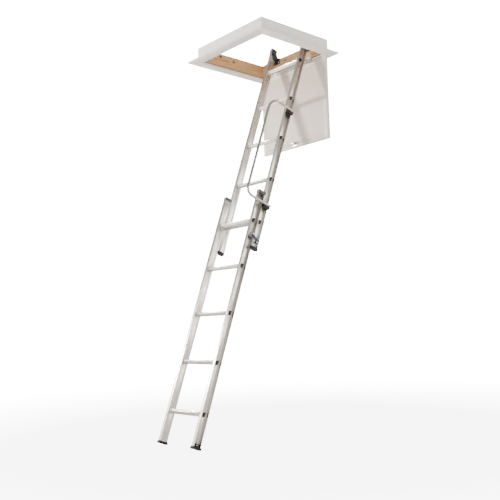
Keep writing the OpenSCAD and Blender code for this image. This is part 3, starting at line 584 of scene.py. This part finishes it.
def tread_ribs(name, low, high):
    """A row of rounded ribs along the tread, as far as the beads at its ends."""
    length = high.x - low.x - BEAD_ROOM
    ribs = bar((length, RIB_WIDTH, 2 * RIB_RISE), (0, -RIB_PITCH * (RIBS - 1) / 2, 0), name)
    pick(ribs)
    bevel = ribs.modifiers.new("rounded", "BEVEL")
    bevel.width = RIB_WIDTH * 0.3
    bevel.segments = 2
    row = ribs.modifiers.new("row", "ARRAY")
    row.count = RIBS
    row.use_relative_offset = False
    row.use_constant_offset = True
    row.constant_offset_displace = (0, RIB_PITCH, 0)
    for modifier in ("rounded", "row"):
        bpy.ops.object.modifier_apply(modifier=modifier)
    ribs.data.transform(Matrix.Translation((0, (low.y + high.y) / 2, high.z - BEAD)))
    bpy.ops.object.shade_smooth_by_angle(angle=math.radians(35))
    return ribs


bright = rung_aluminium("bright_aluminium", (0.76, 0.745, 0.71), 0.27)
for section in ("upper", "lower"):
    for step in range(1, 6):
        node = "%s_rung_%d" % (section, step)
        eased_node(node, node + "_tube", RUNG_EDGE, bright, "bright_aluminium")
        settle(tread_ribs(node + "_tread", *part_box(node)), bright, "bright_aluminium", body_of[node])


# ---------- rung plugs and pivot bushes ----------
# Injection-moulded black plastic. The plugs close the rungs' open ends, and the bushes turn on the
# pivot bolts.


def moulded_plastic(name, color, roughness):
    """Moulded plastic with a fine spark-eroded grain and a faint sheen variation."""
    finish = new_finish(name, color, roughness)
    cloud = speckle(finish, (0.015, 0.015, 0.015), detail=3)
    pale = tuple(1.35 * c for c in color)
    join(finish, tone(finish, cloud, 0.35, 0.7, color, pale), shader_of(finish).inputs["Base Color"])
    join(finish, spread(finish, cloud, *NOISE_SPAN, roughness - 0.06, roughness + 0.08),
         shader_of(finish).inputs["Roughness"])
    shader_of(finish).inputs["Specular IOR Level"].default_value = 0.3
    relief(finish, speckle(finish, (0.0005, 0.0005, 0.0005), detail=2), 0.00015, 0.5)
    return finish


PLUG_EDGE = 0.0005
GUIDE_EDGE = 0.0006
black_plastic = moulded_plastic("black_plastic", (0.010, 0.010, 0.010), 0.55)
for node in ("upper_rung_plugs", "lower_rung_plugs", "pivot_bushes"):
    eased_node(node, node + "_moulded", PLUG_EDGE, black_plastic, "black_plastic")


# ---------- slide guides ----------
# Moulded guides cap the stiles where the two sections lap: black ones on the upper section's bottom end
# and grey ones on the lower section's top end. Each hooks round its neighbour's flange.

grey_plastic = moulded_plastic("grey_plastic", (0.085, 0.084, 0.082), 0.5)
for side in ("left", "right"):
    node = "lower_guide_" + side
    eased_node(node, node + "_moulded", GUIDE_EDGE, black_plastic, "black_plastic")
    node = "top_guide_" + side
    eased_node(node, node + "_moulded", GUIDE_EDGE, grey_plastic, "grey_plastic")


# ---------- handrail ----------
# A thin steel-coloured aluminium tube, bent to a long U and bolted through black saddles to the upper
# section's right stile. Its ends have push-in caps.


def drawn_tube(name, color, roughness):
    """Drawn aluminium tube, polished, with faint clouds where hands hold it."""
    finish = new_finish(name, color, roughness, 1.0)
    cloud = speckle(finish, (0.03, 0.03, 0.09), (lean_turn, 0, 0), detail=4)
    dull = tuple(0.86 * c for c in color)
    join(finish, tone(finish, cloud, 0.35, 0.65, dull, color), shader_of(finish).inputs["Base Color"])
    join(finish, spread(finish, cloud, *NOISE_SPAN, roughness + 0.1, roughness - 0.04),
         shader_of(finish).inputs["Roughness"])
    relief(finish, speckle(finish, (0.0008, 0.0008, 0.2), (lean_turn, 0, 0), detail=2), 0.0001, 0.25)
    return finish


rail_metal = drawn_tube("rail_aluminium", (0.46, 0.45, 0.41), 0.24)
eased_node("handrail", "handrail_tube", 0, rail_metal, "bright_aluminium")
eased_node("handrail_caps", "handrail_end_caps", PLUG_EDGE, black_plastic, "black_plastic")
eased_node("handrail_saddles", "handrail_saddles_moulded", GUIDE_EDGE, black_plastic, "black_plastic")
eased_node("handrail_bolts", "handrail_bolts_plated", PLATE_EDGE, zinc, "zinc")


# ---------- slide catch ----------
# A plated angle riveted in the upper section's channel carries a blued lever on a pin. The lever props
# the stud on the lower section, and a close-wound torsion spring pushes it back after the stud passes.

RIVET_EDGE = 0.0002
STUD_EDGE = 0.0004
blued = zinc_plate("blued_plate", (0.036, 0.042, 0.070), 0.40)
eased_node("slide_catch_plate", "slide_catch_angle", PLATE_EDGE, zinc, "zinc")
eased_node("slide_catch_pin", "slide_catch_rivets", RIVET_EDGE, zinc, "zinc")
eased_node("slide_catch_lever", "slide_catch_lever_blued", PLATE_EDGE, blued, "blue_zinc")
eased_node("slide_stud", "slide_stud_turned", STUD_EDGE, zinc, "zinc")

WIRE_R = 0.00062
WIRE_SIDES = 12
COIL_R = 0.0075
COIL_TURNS = 2
COIL_STEPS = 36


def torsion_spring(name, node, pin):
    """Round wire wound about the pin, its first end running straight to the rear to the plate's upstand."""
    low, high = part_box(node)
    first_x = low.x + WIRE_R
    pitch = (high.x - low.x - 2 * WIRE_R) / COIL_TURNS
    bpy.ops.object.select_all(action="DESELECT")
    bpy.ops.mesh.primitive_circle_add(vertices=WIRE_SIDES, radius=WIRE_R)
    spring = bpy.context.object
    spring.name = name
    spring.data.transform(Matrix.Translation((0, 0, COIL_R)) @ Matrix.Rotation(math.radians(90), 4, "X"))
    screw = spring.modifiers.new("coil", "SCREW")
    screw.axis = "X"
    screw.angle = math.radians(360)
    screw.screw_offset = pitch
    screw.iterations = COIL_TURNS
    screw.steps = COIL_STEPS
    screw.render_steps = COIL_STEPS
    bpy.ops.object.modifier_apply(modifier="coil")
    bpy.ops.object.mode_set(mode="EDIT")
    bpy.ops.mesh.select_all(action="SELECT")
    bpy.ops.mesh.remove_doubles(threshold=MERGE)
    bpy.ops.mesh.select_all(action="DESELECT")
    shape = bmesh.from_edit_mesh(spring.data)
    for edge in shape.edges:
        edge.select = edge.is_boundary and all(v.co.x <= WIRE_R * 1.01 for v in edge.verts)
    bmesh.update_edit_mesh(spring.data)
    rear = (high.y - pin.y) / rear_way.y - COIL_R * slide_way.y / rear_way.y - 2 * WIRE_R
    bpy.ops.mesh.extrude_region_move(TRANSFORM_OT_translate={"value": (0, rear, 0)})
    bpy.ops.mesh.select_all(action="DESELECT")
    bpy.ops.mesh.select_mode(type="EDGE")
    bpy.ops.mesh.select_non_manifold()
    bpy.ops.mesh.fill()
    bpy.ops.mesh.select_all(action="SELECT")
    bpy.ops.mesh.normals_make_consistent(inside=False)
    bpy.ops.mesh.select_mode(type="VERT")
    bpy.ops.object.mode_set(mode="OBJECT")
    spring.data.transform(Matrix.Translation((first_x, pin.y, pin.z)) @ Matrix.Rotation(lean_turn, 4, "X"))
    bpy.ops.object.shade_smooth_by_angle(angle=math.radians(40))
    return spring


catch_pivot = Vector(next(j for j in frame["joints"] if j["name"] == "slide_catch_swing")["pos_m"])
settle(torsion_spring("slide_catch_spring_coil", "slide_catch_spring", catch_pivot), zinc, "zinc",
       "upper_section", "slide_catch_spring")


# ---------- feet ----------
# Black rubber boots pushed on to the stiles' bottom ends and riveted through a tongue. Their soles are
# grooved across so that they grip the floor.


def rubber(name, color):
    """Black rubber: matt, with random dusty patches and a fine moulded grain."""
    finish = new_finish(name, color, 0.78)
    shader_of(finish).inputs["Specular IOR Level"].default_value = 0.3
    dust = speckle(finish, (0.02, 0.02, 0.012), detail=5)
    join(finish, tone(finish, dust, 0.45, 0.75, color, tuple(2.4 * c for c in color)),
         shader_of(finish).inputs["Base Color"])
    relief(finish, speckle(finish, (0.0008, 0.0008, 0.0008), detail=3), 0.0003, 0.6)
    return finish


GROOVE_PITCH = 0.0095
GROOVE = (0.060, 0.003, 0.004)
BOOT_HALF_DEPTH = 0.027
BOOT_EDGE = 0.0008
boot_rubber = rubber("boot_rubber", (0.010, 0.010, 0.010))
for side in ("left", "right"):
    node = "foot_" + side
    boot = solid_copy(node, "foot_%s_boot" % side)
    low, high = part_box(node)
    sole = Vector(((low.x + high.x) / 2, low.y + rear_way.y * BOOT_HALF_DEPTH,
                   low.z - rear_way.z * BOOT_HALF_DEPTH))
    for step in (-2, -1, 0, 1, 2):
        groove = bar(GROOVE, (0, 0, 0))
        groove.data.transform(Matrix.Translation(sole + rear_way * step * GROOVE_PITCH)
                              @ Matrix.Rotation(lean_turn, 4, "X"))
        cut(boot, groove)
    ease(boot, BOOT_EDGE)
    settle(boot, boot_rubber, "black_rubber", "lower_section", node)
eased_node("foot_rivets", "foot_rivets_plated", STUD_EDGE, zinc, "zinc")


# ---------- studio ----------
# A plain pale floor under the feet that brightens away from the ladder, a small key at the left, wide
# soft boxes at the right and behind, and the camera low down in front of the climber's right.

FLOOR_SIDE = 80
FLOOR_NEAR = 1.5
FLOOR_FAR = 8.0
FLOOR_GLOW_NEAR = 6.0
FLOOR_GLOW_FAR = 30.0
FLOOR_GLOW_LEAST = 0.25
floor_z = cad_box[0].z
bpy.ops.object.select_all(action="DESELECT")
bpy.ops.mesh.primitive_plane_add(size=FLOOR_SIDE, location=(0, 0, floor_z))
floor = bpy.context.object
floor.name = "studio_floor"
floor_finish = new_finish("studio_floor", (0.88, 0.88, 0.88), 0.9)
floor_place = add_node(floor_finish, "ShaderNodeTexCoord")
floor_reach = add_node(floor_finish, "ShaderNodeVectorMath", operation="LENGTH")
join(floor_finish, floor_place.outputs["Object"], floor_reach.inputs[0])
floor_ray = add_node(floor_finish, "ShaderNodeLightPath")
floor_glow = add_node(floor_finish, "ShaderNodeMath", operation="MULTIPLY_ADD")
join(floor_finish, spread(floor_finish, floor_reach.outputs["Value"], FLOOR_NEAR, FLOOR_FAR,
                          FLOOR_GLOW_NEAR, FLOOR_GLOW_FAR), floor_glow.inputs[0])
join(floor_finish, floor_ray.outputs["Is Camera Ray"], floor_glow.inputs[1])
floor_glow.inputs[2].default_value = FLOOR_GLOW_LEAST
join(floor_finish, floor_glow.outputs["Value"], shader_of(floor_finish).inputs["Emission Strength"])
shader_of(floor_finish).inputs["Emission Color"].default_value = (1, 1, 1, 1)
floor.data.materials.append(floor_finish)

WHITE_WALL_STRENGTH = 30
ROOM_STRENGTH = 2.05
ROOM_WARMTH = (1, 0.955, 0.90)
ROOM_LOWEST = -0.3
ROOM_HIGHEST = 0.7
ROOM_LEVELS = ((0.0, 0.60), (0.22, 0.62), (0.28, 1.15), (0.40, 1.15), (0.50, 0.55), (0.65, 0.36), (1.0, 0.30))
world = bpy.data.worlds.new("studio")
bpy.context.scene.world = world
world.use_nodes = True
room = world.node_tree
for node in list(room.nodes):
    room.nodes.remove(node)
world_out = room.nodes.new("ShaderNodeOutputWorld")
white_wall = room.nodes.new("ShaderNodeBackground")
white_wall.inputs["Strength"].default_value = WHITE_WALL_STRENGTH
room_light = room.nodes.new("ShaderNodeBackground")
room_light.inputs["Strength"].default_value = ROOM_STRENGTH
by_ray = room.nodes.new("ShaderNodeLightPath")
either = room.nodes.new("ShaderNodeMixShader")
way_in = room.nodes.new("ShaderNodeTexCoord")
height = room.nodes.new("ShaderNodeSeparateXYZ")
rise = room.nodes.new("ShaderNodeMapRange")
rise.inputs["From Min"].default_value = ROOM_LOWEST
rise.inputs["From Max"].default_value = ROOM_HIGHEST
shade = room.nodes.new("ShaderNodeValToRGB")
levels = shade.color_ramp.elements
for place, level in ROOM_LEVELS:
    if place == 0.0:
        stop = levels[0]
    elif place == 1.0:
        stop = levels[-1]
    else:
        stop = levels.new(place)
    stop.color = (*(tint * level for tint in ROOM_WARMTH), 1)
for output, target in ((way_in.outputs["Generated"], height.inputs["Vector"]),
                       (height.outputs["Z"], rise.inputs["Value"]),
                       (rise.outputs["Result"], shade.inputs["Fac"]),
                       (shade.outputs["Color"], room_light.inputs["Color"]),
                       (by_ray.outputs["Is Camera Ray"], either.inputs["Fac"]),
                       (room_light.outputs["Background"], either.inputs[1]),
                       (white_wall.outputs["Background"], either.inputs[2]),
                       (either.outputs["Shader"], world_out.inputs["Surface"])):
    room.links.new(output, target)


LAMP_COLOR = (1, 0.95, 0.88)


def soft_box(name, place, target, size, power):
    """A square soft box that faces its target."""
    light = bpy.data.lights.new(name, "AREA")
    light.shape = "SQUARE"
    light.size = size
    light.energy = power
    light.color = LAMP_COLOR
    lamp = bpy.data.objects.new(name, light)
    lamp.location = place
    lamp.rotation_euler = (Vector(target) - Vector(place)).to_track_quat("-Z", "Y").to_euler()
    bpy.context.scene.collection.objects.link(lamp)


middle = (cad_box[0] + cad_box[1]) / 2
door_centre = (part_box("door_panel")[0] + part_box("door_panel")[1]) / 2
lower_ladder = middle + Vector((0, 0, -0.3))
soft_box("key_left", door_centre + Vector((-3.6, -3.8, -0.2)), door_centre, size=0.5, power=380)
soft_box("fill_right", middle + Vector((3.0, -3.5, -0.6)), middle, size=2.5, power=60)
soft_box("wall_right", middle + Vector((3.3, 2.7, -0.05)), lower_ladder, size=1.7, power=60)

# The camera's place in metres, the way it looks, how far it is rolled, and its lens in millimetres
LENS_MM = 51.75
VIEW_END = 200
camera_at = Vector((3.175, -2.947, -1.678))
look_azimuth = math.radians(48.6)
look_up = math.radians(6.2)
look_roll = math.radians(-1.6)
look = Vector((-math.sin(look_azimuth) * math.cos(look_up), math.cos(look_azimuth) * math.cos(look_up),
               math.sin(look_up)))
lens = bpy.data.cameras.new("camera")
lens.lens = LENS_MM
lens.clip_end = VIEW_END
camera = bpy.data.objects.new("camera", lens)
camera.location = camera_at
camera.rotation_euler = (look.to_track_quat("-Z", "Y").to_matrix().to_4x4()
                         @ Matrix.Rotation(look_roll, 4, "Z")).to_euler()
bpy.context.scene.collection.objects.link(camera)
bpy.context.scene.camera = camera
